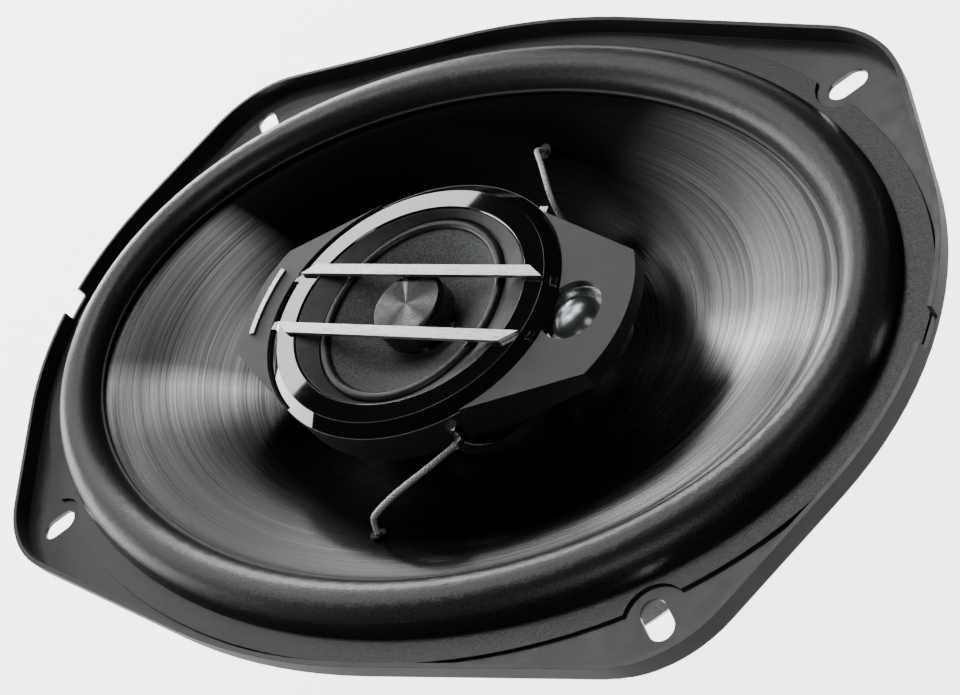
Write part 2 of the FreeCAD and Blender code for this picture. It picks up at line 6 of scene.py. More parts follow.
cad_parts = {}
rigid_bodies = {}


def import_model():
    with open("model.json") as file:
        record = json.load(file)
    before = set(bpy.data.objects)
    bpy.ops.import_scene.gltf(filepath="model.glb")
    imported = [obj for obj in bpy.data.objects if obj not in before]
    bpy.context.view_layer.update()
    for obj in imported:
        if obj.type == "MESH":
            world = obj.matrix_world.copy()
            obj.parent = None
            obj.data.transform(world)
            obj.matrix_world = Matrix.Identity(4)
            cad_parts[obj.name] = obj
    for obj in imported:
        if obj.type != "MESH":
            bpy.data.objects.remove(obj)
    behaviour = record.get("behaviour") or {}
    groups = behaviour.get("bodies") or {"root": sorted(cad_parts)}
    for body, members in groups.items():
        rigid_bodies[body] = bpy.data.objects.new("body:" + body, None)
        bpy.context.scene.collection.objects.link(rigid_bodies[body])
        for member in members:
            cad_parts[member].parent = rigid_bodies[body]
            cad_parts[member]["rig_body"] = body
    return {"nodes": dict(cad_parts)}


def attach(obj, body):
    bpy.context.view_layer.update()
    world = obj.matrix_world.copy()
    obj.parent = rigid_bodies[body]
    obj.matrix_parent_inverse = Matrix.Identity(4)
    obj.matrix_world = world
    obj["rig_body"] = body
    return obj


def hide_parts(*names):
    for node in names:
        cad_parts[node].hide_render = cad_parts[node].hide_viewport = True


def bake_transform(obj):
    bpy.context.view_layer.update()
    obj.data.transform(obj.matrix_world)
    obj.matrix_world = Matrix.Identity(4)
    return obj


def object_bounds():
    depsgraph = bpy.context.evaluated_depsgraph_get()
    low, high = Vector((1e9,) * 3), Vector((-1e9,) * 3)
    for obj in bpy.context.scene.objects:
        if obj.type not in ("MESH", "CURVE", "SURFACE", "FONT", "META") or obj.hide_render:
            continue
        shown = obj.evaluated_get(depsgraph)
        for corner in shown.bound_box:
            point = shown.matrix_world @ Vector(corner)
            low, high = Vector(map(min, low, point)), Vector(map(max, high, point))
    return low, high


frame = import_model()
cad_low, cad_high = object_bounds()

MM = 0.001

# ------------------------------------------------------------------ basket
# One deep-drawn steel stamping: a flat flange with a folded rim, the windowed bowl and the round cup that
# holds the magnet. It is sprayed semi-gloss black. Its outward walls and the bowl get a darker, duller copy
# of the paint, which is painted shade.
PAINT_BLACK = (0.014, 0.0145, 0.0155)
SHEET_EDGE = 0.22 * MM
EDGE_ANGLE = 20.0        # a CAD edge that turns by more than this is a real edge
FLAT_ANGLE = 0.4         # and one that turns by less than this is only a seam between facets
WELD = 2e-6
GRAIN_LOW = 0.3          # noise hardly ever leaves this span
GRAIN_HIGH = 0.7
SHADED_WALL_REACH = 0.045       # metres out from the axis along its normal, at which a face is an outward wall
SHADED_WALL_TILT = 0.5          # and the most that a wall's normal may rise


def finish(name, colour, rough, metal=0.0):
    """A new finish, with what is the same all over set on its shader."""
    made = bpy.data.materials.new(name)
    made.use_nodes = True
    shader = made.node_tree.nodes["Principled BSDF"]
    shader.inputs["Base Color"].default_value = (*colour, 1)
    shader.inputs["Roughness"].default_value = rough
    shader.inputs["Metallic"].default_value = metal
    return made


def part(made, kind):
    return made.node_tree.nodes.new("ShaderNode" + kind)


def wire(made, source, target):
    made.node_tree.links.new(source, target)


def grain(made, scale, stretch=(1, 1, 1), detail=3.0):
    """Noise that sits in the piece, scale to the metre."""
    place = part(made, "TexCoord")
    turn = part(made, "Mapping")
    turn.inputs["Scale"].default_value = stretch
    noise = part(made, "TexNoise")
    noise.inputs["Scale"].default_value = scale
    noise.inputs["Detail"].default_value = detail
    wire(made, place.outputs["Object"], turn.inputs["Vector"])
    wire(made, turn.outputs["Vector"], noise.inputs["Vector"])
    return noise.outputs["Fac"]


def shade(made, pattern, dark, light, low=GRAIN_LOW, high=GRAIN_HIGH):
    """The colour runs from dark to light as the pattern rises."""
    ramp = part(made, "ValToRGB")
    ramp.color_ramp.elements[0].position = low
    ramp.color_ramp.elements[0].color = (*dark, 1)
    ramp.color_ramp.elements[1].position = high
    ramp.color_ramp.elements[1].color = (*light, 1)
    wire(made, pattern, ramp.inputs["Fac"])
    wire(made, ramp.outputs["Color"], made.node_tree.nodes["Principled BSDF"].inputs["Base Color"])


def dull(made, pattern, least, most):
    """The roughness runs from least to most as the pattern rises."""
    span = part(made, "MapRange")
    span.inputs["From Min"].default_value = GRAIN_LOW
    span.inputs["From Max"].default_value = GRAIN_HIGH
    span.inputs["To Min"].default_value = least
    span.inputs["To Max"].default_value = most
    wire(made, pattern, span.inputs["Value"])
    wire(made, span.outputs["Result"], made.node_tree.nodes["Principled BSDF"].inputs["Roughness"])


def raise_up(made, pattern, height):
    """The pattern stands up from the surface by height, in metres."""
    bump = part(made, "Bump")
    bump.inputs["Distance"].default_value = height
    wire(made, pattern, bump.inputs["Height"])
    wire(made, bump.outputs["Normal"], made.node_tree.nodes["Principled BSDF"].inputs["Normal"])


def alone(piece):
    """Only this piece is selected and active."""
    bpy.ops.object.select_all(action="DESELECT")
    piece.select_set(True)
    bpy.context.view_layer.objects.active = piece


def dress(piece, made):
    piece.data.materials.clear()
    piece.data.materials.append(made)


def rounded(node, name, width, made, segments=2):
    """A copy of a CAD part with its edges broken, which stands for that part."""
    source = frame["nodes"][node]
    piece = bpy.data.objects.new(name, source.data.copy())
    bpy.context.scene.collection.objects.link(piece)
    alone(piece)
    bpy.ops.mesh.customdata_custom_splitnormals_clear()
    bpy.ops.object.mode_set(mode="EDIT")
    bpy.ops.mesh.select_all(action="SELECT")
    bpy.ops.mesh.remove_doubles(threshold=WELD)
    bpy.ops.mesh.mark_sharp(clear=True)
    bpy.ops.mesh.dissolve_limited(angle_limit=math.radians(FLAT_ANGLE))
    bpy.ops.object.mode_set(mode="OBJECT")
    edge = piece.modifiers.new("edge", "BEVEL")
    edge.width = width
    edge.segments = segments
    edge.limit_method = "ANGLE"
    edge.angle_limit = math.radians(EDGE_ANGLE)
    edge.use_clamp_overlap = True
    bpy.ops.object.modifier_apply(modifier="edge")
    bpy.ops.object.shade_smooth_by_angle(angle=math.radians(EDGE_ANGLE + 10))
    even = piece.modifiers.new("even", "WEIGHTED_NORMAL")
    even.keep_sharp = True
    even.weight = 100
    bpy.ops.object.modifier_apply(modifier="even")
    dress(piece, made)
    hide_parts(node)
    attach(piece, source["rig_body"])
    return piece


paint = finish("black_sheet_paint", PAINT_BLACK, 0.3)
shade(paint, grain(paint, 60), (0.024, 0.025, 0.026), (0.032, 0.033, 0.034))
dull(paint, grain(paint, 240), 0.27, 0.36)
raise_up(paint, grain(paint, 1400), 0.012 * MM)
flange = rounded("basket_flange", "flange_pressing", SHEET_EDGE, paint)
# Painted shade: a darker, duller copy of the paint, for the flange's outward walls and the whole bowl.
shaded_wall_paint = finish("dull_painted_shade_coat", PAINT_BLACK, 0.55)
shade(shaded_wall_paint, grain(shaded_wall_paint, 90), (0.008, 0.0083, 0.009), (0.013, 0.0133, 0.014))
shaded_wall_paint.node_tree.nodes["Principled BSDF"].inputs["Specular IOR Level"].default_value = 0.06
flange.data.materials.append(shaded_wall_paint)
# Painted shade: faces that face outwards from the axis take the darker copy.
for face in flange.data.polygons:
    reach = face.normal.x * face.center.x + face.normal.y * face.center.y
    if reach > SHADED_WALL_REACH and face.normal.z < SHADED_WALL_TILT:
        face.material_index = 1
rounded("basket_bowl", "bowl_pressing", SHEET_EDGE, shaded_wall_paint)

# ---------------------------------------------------------- magnet and steel
# A fired ferrite ring between two zinc-plated steel plates. The top plate is riveted into the
# cup, and one long screw runs from the back plate up into the bridge's post.
plating = finish("zinc_plating", (0.52, 0.53, 0.54), 0.34, 1.0)
shade(plating, grain(plating, 90), (0.24, 0.245, 0.26), (0.36, 0.36, 0.36))
dull(plating, grain(plating, 500, (1, 1, 6)), 0.26, 0.44)
raise_up(plating, grain(plating, 2600), 0.008 * MM)
ferrite = finish("fired_ferrite", (0.035, 0.036, 0.038), 0.6)
shade(ferrite, grain(ferrite, 900), (0.014, 0.0145, 0.016), (0.03, 0.031, 0.033))
ferrite.node_tree.nodes["Principled BSDF"].inputs["Specular IOR Level"].default_value = 0.2
dull(ferrite, grain(ferrite, 160), 0.5, 0.68)
raise_up(ferrite, grain(ferrite, 2200, detail=6), 0.03 * MM)
rounded("magnet", "magnet_ring", 0.25 * MM, ferrite)
for node in ("top_plate", "yoke", "basket_rivets", "bridge_screw"):
    rounded(node, node + "_plated", 0.25 * MM, plating)

# ----------------------------------------------------------------- terminals
# Two tinned blades on a brown laminate board, riveted to the basket's tab, with the capacitor
# that feeds the small drivers in a black sleeve beside them.
laminate = finish("brown_laminate", (0.16, 0.075, 0.035), 0.55)
shade(laminate, grain(laminate, 300, (1, 6, 1)), (0.12, 0.055, 0.026), (0.2, 0.1, 0.05))
raise_up(laminate, grain(laminate, 1500, (1, 5, 1)), 0.02 * MM)
rounded("terminal_board", "terminal_laminate", 0.15 * MM, laminate)
brass = finish("turned_brass", (0.72, 0.5, 0.2), 0.28, 1.0)
shade(brass, grain(brass, 700), (0.6, 0.41, 0.16), (0.8, 0.57, 0.25))
dull(brass, grain(brass, 1500), 0.22, 0.4)
rounded("terminal_rivets", "terminal_rivet_pair", 0.12 * MM, brass)
tin = finish("bright_tin", (0.7, 0.7, 0.7), 0.24, 1.0)
shade(tin, grain(tin, 800), (0.55, 0.55, 0.56), (0.8, 0.8, 0.79))
dull(tin, grain(tin, 1600, (1, 0.2, 1)), 0.18, 0.36)
for node in ("terminal_positive", "terminal_negative"):
    rounded(node, node + "_blade", 0.1 * MM, tin)
sleeve = finish("shrink_sleeve", (0.02, 0.02, 0.022), 0.42)
shade(sleeve, grain(sleeve, 400), (0.014, 0.014, 0.016), (0.03, 0.03, 0.032))
dull(sleeve, grain(sleeve, 900), 0.34, 0.52)
rounded("capacitor", "capacitor_can", 0.9 * MM, sleeve, 4)

# ------------------------------------------------------------------- spider
# A resin-dipped cloth disc, pressed into rings of waves between two heated dies. Its rim is
# glued to the basket's ledge and its neck to the coil former, and the waves let it travel.
LEDGE_TOP = -41 * MM
SPIDER_NECK = 13.3 * MM
SPIDER_RIM = 54 * MM
CLOTH = 0.5 * MM
WAVE_START = 18.5 * MM
WAVE_END = 46.5 * MM
WAVE_LENGTH = 5.2 * MM
WAVE_HEIGHT = 1.3 * MM
WAVE_SINK = 0.2 * MM
COLLAR_END = 15.5 * MM
COLLAR_RISE = 2.0 * MM
SPIDER_STEPS = 120


def drawn_ring(name, rows, sides):
    """A closed ring: a circle drawn round a section of (half length, half width, height) rows."""
    bpy.ops.object.select_all(action="DESELECT")
    bpy.ops.mesh.primitive_circle_add(vertices=sides, radius=1, location=(0, 0, 0))
    piece = bpy.context.object
    piece.name = name
    bpy.ops.object.mode_set(mode="EDIT")
    bpy.ops.mesh.select_all(action="SELECT")
    a, b, z = rows[0]
    bpy.ops.transform.resize(value=(a, b, 1), center_override=(0, 0, 0))
    bpy.ops.transform.translate(value=(0, 0, z))
    for next_a, next_b, next_z in rows[1:] + rows[:1]:
        bpy.ops.mesh.extrude_edges_move(TRANSFORM_OT_translate={"value": (0, 0, next_z - z)})
        bpy.ops.transform.resize(value=(next_a / a, next_b / b, 1), center_override=(0, 0, next_z))
        a, b, z = next_a, next_b, next_z
    bpy.ops.mesh.select_all(action="SELECT")
    bpy.ops.mesh.remove_doubles(threshold=1e-6)
    bpy.ops.mesh.normals_make_consistent(inside=False)
    bpy.ops.object.mode_set(mode="OBJECT")
    bpy.ops.object.shade_smooth_by_angle(angle=math.radians(40))
    return piece


def spider_height(r):
    if r < WAVE_START:
        fall = min(1, max(0, (r - COLLAR_END) / (WAVE_START - COLLAR_END)))
        return LEDGE_TOP + COLLAR_RISE * (1 - fall)
    if r > WAVE_END:
        return LEDGE_TOP
    turn = 2 * math.pi * (r - WAVE_START) / WAVE_LENGTH
    return LEDGE_TOP + WAVE_HEIGHT * (1 - math.cos(turn)) - WAVE_SINK * math.sin(turn / 2) ** 2


def hang_between(piece):
    """The piece's place in the world is baked into its mesh."""
    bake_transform(piece)


radii = [SPIDER_NECK + (SPIDER_RIM - SPIDER_NECK) * i / SPIDER_STEPS for i in range(SPIDER_STEPS + 1)]
section = [(r, r, spider_height(r) + CLOTH) for r in radii]
section += [(r, r, spider_height(r)) for r in reversed(radii)]
spider = drawn_ring("spider_cloth_disc", section, 128)
cloth = finish("resined_cloth", (0.3, 0.2, 0.08), 0.72)
weave = part(cloth, "TexWave")
weave.inputs["Scale"].default_value = 260
weft = part(cloth, "TexWave")
weft.inputs["Scale"].default_value = 260
weft.bands_direction = "Y"
over = part(cloth, "Math")
over.operation = "MULTIPLY"
cloth_place = part(cloth, "TexCoord")
for thread, socket in ((weave, 0), (weft, 1)):
    wire(cloth, cloth_place.outputs["Object"], thread.inputs["Vector"])
    wire(cloth, thread.outputs["Fac"], over.inputs[socket])
shade(cloth, over.outputs["Value"], (0.16, 0.1, 0.04), (0.36, 0.25, 0.11), 0.0, 0.8)
raise_up(cloth, over.outputs["Value"], 0.12 * MM)
dress(spider, cloth)
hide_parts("spider")
hang_between(spider)

# --------------------------------------------------------------- voice coil
# Copper wire wound in one layer on an aluminium former, which runs in the magnet's gap and is
# glued into the cone's neck.
WIRE = 0.4 * MM
COIL_LOW = -63.5 * MM
COIL_R = 13.32 * MM
COIL_TURNS = 30
VARNISH = 0.08 * MM
former = finish("former_foil", (0.42, 0.42, 0.42), 0.4, 1.0)
shade(former, grain(former, 400, (1, 1, 8)), (0.34, 0.34, 0.34), (0.5, 0.5, 0.5))
dull(former, grain(former, 900, (1, 1, 8)), 0.34, 0.5)
rounded("coil_former", "coil_former_tube", 0.08 * MM, former)
section = []
for turn in range(COIL_TURNS):
    for step in range(5):
        angle = math.pi * step / 5
        r = COIL_R + WIRE * 1.5 * math.sin(angle) + VARNISH
        section.append((r, r, COIL_LOW + WIRE * (turn + 0.5 - 0.5 * math.cos(angle))))
section += [(COIL_R, COIL_R, COIL_LOW + WIRE * COIL_TURNS), (COIL_R, COIL_R, COIL_LOW)]
winding = drawn_ring("coil_turns", section, 72)
copper = finish("enamelled_copper", (0.62, 0.26, 0.12), 0.3, 1.0)
shade(copper, grain(copper, 700), (0.5, 0.2, 0.08), (0.7, 0.31, 0.15))
dull(copper, grain(copper, 1400), 0.24, 0.38)
dress(winding, copper)
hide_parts("coil_winding")
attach(winding, "woofer_cone")

# --------------------------------------------------------------------- cone
# An oval moulded cone of mica-filled plastic. The mould was turned, so its face keeps fine rings that run
# parallel to its edge and throw the light into fans, as spun metal does. Those fans are also painted into
# its colour, sector by sector, as painted highlight and shade.
CONE_NECK = (13.5, 13.5, -33.0)
CONE_HALF_WAY = (62.0, 42.0, -8.0)
CONE_EDGE = (100.5, 64.5, 3.0)
CONE_HALF_SHARE = 0.58
CONE_WALL = 0.9 * MM
CONE_ROWS = 60
CONE_SIDES = 256
FULL_TURN = 360
LIP_UNDER = 2.08 * MM
LIP_THIN = 0.3 * MM


def cone_row(t):
    """Half length, half width and height of the cone's front face, t from neck to edge."""
    h = CONE_HALF_SHARE
    row = []
    for low, middle, high in zip(CONE_NECK, CONE_HALF_WAY, CONE_EDGE):
        value = low * (t - h) * (t - 1) / h + middle * t * (t - 1) / (h * (h - 1))
        value += high * t * (t - h) / (1 - h)
        row.append(value * MM)
    return row[0], row[1], min(row[2], LIP_UNDER)


share = [i / CONE_ROWS for i in range(CONE_ROWS + 1)]
section = [cone_row(t) for t in share]
section += [(a, b, min(z - CONE_WALL, LIP_UNDER - LIP_THIN)) for a, b, z in reversed(section)]
cone = drawn_ring("cone_moulding", section, CONE_SIDES)


def lay_rings(piece, profile, count):
    """A map with u round the piece and v across it, and the ring pattern's own coordinates."""
    rows = [profile(i / count) for i in range(count + 1)]
    across = []
    around = []
    for v in piece.data.vertices:
        off = [abs(math.hypot(v.co.x / row[0], v.co.y / row[1]) - 1) for row in rows]
        nearest = off.index(min(off))
        across.append(nearest / count)
        a, b = rows[nearest][:2]
        around.append(math.atan2(v.co.y / b, v.co.x / a) / (2 * math.pi) + 0.5)
    spun = piece.data.attributes.new("ring_place", "FLOAT_VECTOR", "POINT")
    for i, (u, t) in enumerate(zip(around, across)):
        spun.data[i].vector = (math.cos(2 * math.pi * u), math.sin(2 * math.pi * u), t)
    layer = piece.data.uv_layers.new(name="ring_map")
    for face in piece.data.polygons:
        us = [around[piece.data.loops[i].vertex_index] for i in face.loop_indices]
        wraps = max(us) - min(us) > 0.5
        for i, u in zip(face.loop_indices, us):
            layer.data[i].uv = (u + 1 if wraps and u < 0.5 else u, across[piece.data.loops[i].vertex_index])


def ring_grain(made, around, across, detail=4.0):
    """Noise drawn out round the piece's rings, in lines about across to its width."""
    place = part(made, "Attribute")
    place.attribute_name = "ring_place"
    turn = part(made, "Mapping")
    turn.inputs["Scale"].default_value = (around, around, across)
    noise = part(made, "TexNoise")
    noise.inputs["Scale"].default_value = 1.0
    noise.inputs["Detail"].default_value = detail
    wire(made, place.outputs["Vector"], turn.inputs["Vector"])
    wire(made, turn.outputs["Vector"], noise.inputs["Vector"])
    return noise.outputs["Fac"]


def spun(made, amount):
    """Gloss drawn out along the rings."""
    shader = made.node_tree.nodes["Principled BSDF"]
    shader.inputs["Anisotropic"].default_value = amount
    along = part(made, "Tangent")
    along.direction_type = "UV_MAP"
    along.uv_map = "ring_map"
    wire(made, along.outputs["Tangent"], shader.inputs["Tangent"])


def painted_sheen_ramp(made, side, stops):
    """Painted highlight and shade, as amounts at stops in degrees round Z, by where the surface faces or
    where it lies.
    """
    place = part(made, "TexCoord")
    lean = part(made, "SeparateXYZ")
    wire(made, place.outputs[side], lean.inputs["Vector"])
    way = part(made, "Math")
    way.operation = "ARCTAN2"
    wire(made, lean.outputs["Y"], way.inputs[0])
    wire(made, lean.outputs["X"], way.inputs[1])
    turn = part(made, "MapRange")
    turn.inputs["From Min"].default_value = -math.pi
    turn.inputs["From Max"].default_value = math.pi
    wire(made, way.outputs["Value"], turn.inputs["Value"])
    ramp = part(made, "ValToRGB")
    elements = ramp.color_ramp.elements
    for angle, amount in stops:
        if angle == 0:
            stop = elements[0]
        elif angle == FULL_TURN:
            stop = elements[-1]
        else:
            stop = elements.new(angle / FULL_TURN)
        stop.color = (amount, amount, amount, 1)
    wire(made, turn.outputs["Result"], ramp.inputs["Fac"])
    return ramp.outputs["Color"]


def paint_sheen_into_colour(made, amount):
    """The base colour so far is multiplied by amount."""
    scaled = part(made, "Mix")
    scaled.data_type = "RGBA"
    scaled.blend_type = "MULTIPLY"
    scaled.inputs["Factor"].default_value = 1.0
    base = made.node_tree.nodes["Principled BSDF"].inputs["Base Color"]
    wire(made, base.links[0].from_socket, scaled.inputs["A"])
    wire(made, amount, scaled.inputs["B"])
    wire(made, scaled.outputs["Result"], base)


# Painted highlight and shade: how bright the cone's colour is made in each sector round its axis. 0 and 360
# are the tweeter's end.
CONE_PAINTED_FANS = [(0, 2.0), (15, 0.8), (60, 0.2), (75, 0.0), (135, 0.0), (145, 0.2), (200, 0.3), (210, 1.0),
           (230, 0.3), (260, 0.1), (300, 0.2), (320, 1.0), (345, 1.0), (360, 2.0)]
lay_rings(cone, cone_row, CONE_ROWS)
mica = finish("turned_mica_plastic", (0.2, 0.2, 0.205), 0.36, 1.0)
shade(mica, ring_grain(mica, 0.6, 260, 6), (0.1, 0.1, 0.102), (0.34, 0.34, 0.345))
paint_sheen_into_colour(mica, painted_sheen_ramp(mica, "Normal", CONE_PAINTED_FANS))
dull(mica, ring_grain(mica, 0.8, 420), 0.22, 0.34)
raise_up(mica, grain(mica, 2600), 0.0015 * MM)
spun(mica, 0.94)
dress(cone, mica)
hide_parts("cone")
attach(cone, "woofer_cone")
neck_paper = finish("neck_glue_paper", (0.03, 0.03, 0.032), 0.6)
shade(neck_paper, grain(neck_paper, 900), (0.02, 0.02, 0.022), (0.045, 0.045, 0.048))
raise_up(neck_paper, grain(neck_paper, 1800), 0.05 * MM)
rounded("neck_ring", "neck_collar", 0.2 * MM, neck_paper)


def let_go(piece):
    """The piece leaves its CAD part's body."""
    piece.parent = None
    del piece["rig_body"]


rubber = finish("black_rubber", (0.016, 0.016, 0.0165), 0.42)
shade(rubber, grain(rubber, 2400, detail=4), (0.008, 0.008, 0.0085), (0.034, 0.034, 0.035))
dull(rubber, grain(rubber, 2600, detail=5), 0.28, 0.42)
raise_up(rubber, grain(rubber, 2200, detail=4), 0.06 * MM)
surround = rounded("surround", "surround_moulding", 0.15 * MM, rubber)
let_go(surround)
hang_between(surround)

# ------------------------------------------------------------ flexible leads
# Braided copper tinsel, silver in colour and as limp as string. Each lead rises from an eyelet in the cone,
# bows over and ends in a crimped tab under the bridge.
LEAD_WIDE = 1.4 * MM
STRAND = 0.2 * MM
STRANDS = 5              # each way round
STRAND_PITCH = 5.2 * MM
STRAND_DIP = 0.28        # how far a strand dips under another, in strand radii
CORE_SIZE = 2.5          # the core's radius, in strand radii
LEAD_LOWER = [(9.472, -49.076, -2.808), (9.335, -47.5, 0.202), (12.0, -47.0, 2.5), (15.6, -44.8, 4.6),
              (19.3, -41.5, 5.5), (22.2, -37.6, 5.1), (23.5, -33.3, 3.5), (23.2, -29.5, 1.0)]
LEAD_UPPER = [(9.472, 49.076, -2.808), (9.335, 47.5, 0.202), (13.0, 43.5, 1.4), (16.6, 39.4, 3.0),
              (19.6, 35.5, 3.6), (21.8, 31.9, 2.6), (23.0, 29.8, 0.0), (22.8, 29.2, -3.4)]


def lead_line(name, route):
    """The smooth line of one lead, read from a curve through its route."""
    curve = bpy.data.curves.new(name, "CURVE")
    curve.dimensions = "3D"
    curve.resolution_u = 24
    spline = curve.splines.new("NURBS")
    spline.points.add(len(route) - 1)
    for point, (x, y, z) in zip(spline.points, route):
        point.co = (x * MM, y * MM, z * MM, 1)
    spline.order_u = 3
    spline.use_endpoint_u = True
    holder = bpy.data.objects.new(name, curve)
    bpy.context.scene.collection.objects.link(holder)
    line = [v.co.copy() for v in bpy.data.meshes.new_from_object(holder).vertices]
    bpy.data.objects.remove(holder)
    return line


def braid(name, line):
    """Strands wound both ways round the line, over a plain core."""
    curve = bpy.data.curves.new(name, "CURVE")
    curve.dimensions = "3D"
    curve.bevel_depth = STRAND
    curve.bevel_resolution = 1
    curve.use_fill_caps = True
    walked = [0.0]
    for a, b in zip(line, line[1:]):
        walked.append(walked[-1] + (b - a).length)
    side = Vector((0, 0, 1)).cross(line[1] - line[0]).normalized()
    frames = []
    for i, point in enumerate(line):
        ahead = (line[min(i + 1, len(line) - 1)] - line[max(i - 1, 0)]).normalized()
        side = (side - ahead * side.dot(ahead)).normalized()
        frames.append((point, side, ahead.cross(side)))
    for way in (1, -1):
        for k in range(STRANDS):
            spline = curve.splines.new("POLY")
            spline.points.add(len(line) - 1)
            for i, (point, side, up) in enumerate(frames):
                turn = way * 2 * math.pi * walked[i] / STRAND_PITCH + 2 * math.pi * k / STRANDS
                lift = LEAD_WIDE / 2 - STRAND * (1.0 + STRAND_DIP * (1 + way * math.cos(STRANDS * turn)) / 2)
                at = point + (side * math.cos(turn) + up * math.sin(turn)) * lift
                spline.points[i].co = (*at, 1)
    core = curve.splines.new("POLY")
    core.points.add(len(line) - 1)
    for i, point in enumerate(line):
        core.points[i].co = (*point, 1)
        core.points[i].radius = CORE_SIZE
    piece = bpy.data.objects.new(name, curve)
    bpy.context.scene.collection.objects.link(piece)
    alone(piece)
    bpy.ops.object.convert(target="MESH")
    piece = bpy.context.object
    bpy.ops.object.shade_smooth()
    return piece


tinsel = finish("tinsel_braid", (0.8, 0.8, 0.78), 0.4, 0.25)
shade(tinsel, grain(tinsel, 1800), (0.62, 0.62, 0.6), (0.98, 0.98, 0.95))
dull(tinsel, grain(tinsel, 2400), 0.24, 0.5)
for name, node, route, length in (("lead_braid_upper", "lead_upper", LEAD_UPPER, 30.4 * MM),
                                  ("lead_braid_lower", "lead_lower", LEAD_LOWER, 30.4 * MM)):
    line = lead_line(name + "_line", route)
    lead = braid(name, line)
    dress(lead, tinsel)
    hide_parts(node)
    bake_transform(lead)
blacked = finish("blacked_brass", (0.03, 0.028, 0.026), 0.4, 0.6)
shade(blacked, grain(blacked, 900), (0.02, 0.019, 0.018), (0.045, 0.042, 0.038))
dull(blacked, grain(blacked, 1700), 0.34, 0.52)
for node in ("eyelet_upper", "eyelet_lower"):
    rounded(node, node + "_rivet", 0.15 * MM, blacked)
for node in ("lead_tab_upper", "lead_tab_lower"):
    rounded(node, node + "_strip", 0.1 * MM, tin)

# ------------------------------------------------------------------- bridge
# A moulded six-sided bridge that stands on the centre post. It carries the small drivers over
# the cone. Its face is finely sparked satin plastic with crisp edges.
EDGE = 0.35 * MM
plastic = finish("sparked_plastic", (0.028, 0.028, 0.029), 0.4)
shade(plastic, grain(plastic, 180), (0.024, 0.024, 0.025), (0.034, 0.034, 0.035))
dull(plastic, grain(plastic, 1500), 0.34, 0.46)
raise_up(plastic, grain(plastic, 3000), 0.015 * MM)
rounded("centre_post", "post_moulding", 0.3 * MM, plastic)
rounded("bridge_housing", "bridge_moulding", EDGE, plastic)

# ------------------------------------------------- trim ring, funnel and bars
# The ring is piano-black plastic, clipped over the collar. The matte funnel sits inside it, and
# the two bars and the strip on the wing are brushed bright metal.
gloss = finish("piano_black", (0.006, 0.006, 0.0065), 0.06)
shade(gloss, grain(gloss, 40), (0.005, 0.005, 0.0055), (0.008, 0.008, 0.0085))
dull(gloss, grain(gloss, 120), 0.02, 0.035)
gloss_shader = gloss.node_tree.nodes["Principled BSDF"]
gloss_shader.inputs["Coat Weight"].default_value = 1.0
gloss_shader.inputs["Coat Roughness"].default_value = 0.02
rounded("trim_ring", "trim_ring_gloss", 0.3 * MM, gloss, 3)
matte = finish("matte_plastic", (0.022, 0.022, 0.023), 0.58)
shade(matte, grain(matte, 500), (0.017, 0.017, 0.018), (0.03, 0.03, 0.031))
raise_up(matte, grain(matte, 2600), 0.03 * MM)
rounded("funnel", "funnel_flare", 0.15 * MM, matte)
for node in ("bar_ribs_upper", "bar_ribs_lower"):
    rounded(node, node + "_pair", 0.08 * MM, matte)
bright = finish("brushed_bright_metal", (0.78, 0.78, 0.78), 0.3, 1.0)
shade(bright, grain(bright, 260, (1, 14, 14)), (0.66, 0.66, 0.66), (0.88, 0.88, 0.88))
dull(bright, grain(bright, 420, (1, 12, 12)), 0.22, 0.4)
raise_up(bright, grain(bright, 500, (1, 12, 12)), 0.006 * MM)
for node in ("bar_upper", "bar_lower", "badge_strip"):
    rounded(node, node + "_brushed", 0.14 * MM, bright)

# ----------------------------------------------------------------- midrange
# A small paper cone in a pressed cup, with its own magnet behind it. Its face is felted grey,
# its half roll is rubber, and a spun bullet stands on the pole in the middle.
rounded("mid_frame", "midrange_cup", 0.12 * MM, matte)
for node, made, slot in (("mid_top_plate", plating, "zinc"), ("mid_magnet", ferrite, "ferrite"),
                         ("mid_yoke", plating, "zinc"), ("mid_coil_former", former, "former"),
                         ("mid_coil", copper, "copper")):
    rounded(node, node + "_part", 0.08 * MM, made)
felt = finish("felted_paper", (0.05, 0.055, 0.062), 0.75)
shade(felt, grain(felt, 2200, detail=6), (0.035, 0.038, 0.04), (0.18, 0.188, 0.195))
raise_up(felt, grain(felt, 2400, detail=6), 0.06 * MM)
MID_EDGE = (21.5 * MM, 5.8 * MM)
MID_NECK = (7.6 * MM, -1.0 * MM)
MID_WALL = 0.4 * MM
MID_ROWS = 24
section = []
for i in range(MID_ROWS + 1):
    t = i / MID_ROWS
    r = MID_NECK[0] + (MID_EDGE[0] - MID_NECK[0]) * t
    section.append((r, r, MID_NECK[1] + (MID_EDGE[1] - MID_NECK[1]) * t))
section += [(a, b, z - MID_WALL) for a, b, z in reversed(section)]
mid_cone = drawn_ring("midrange_cone_paper", section, 128)
dress(mid_cone, felt)
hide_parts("mid_cone")
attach(mid_cone, "mid_diaphragm")
mid_roll = rounded("mid_surround", "midrange_roll", 0.08 * MM, rubber)
let_go(mid_roll)
hang_between(mid_roll)
chrome = finish("spun_dark_chrome", (0.12, 0.12, 0.125), 0.24, 1.0)
bullet = rounded("bullet", "bullet_spun", 0.12 * MM, chrome, 3)
shade(chrome, grain(chrome, 700), (0.1, 0.1, 0.105), (0.15, 0.15, 0.155))
dull(chrome, grain(chrome, 900), 0.2, 0.3)
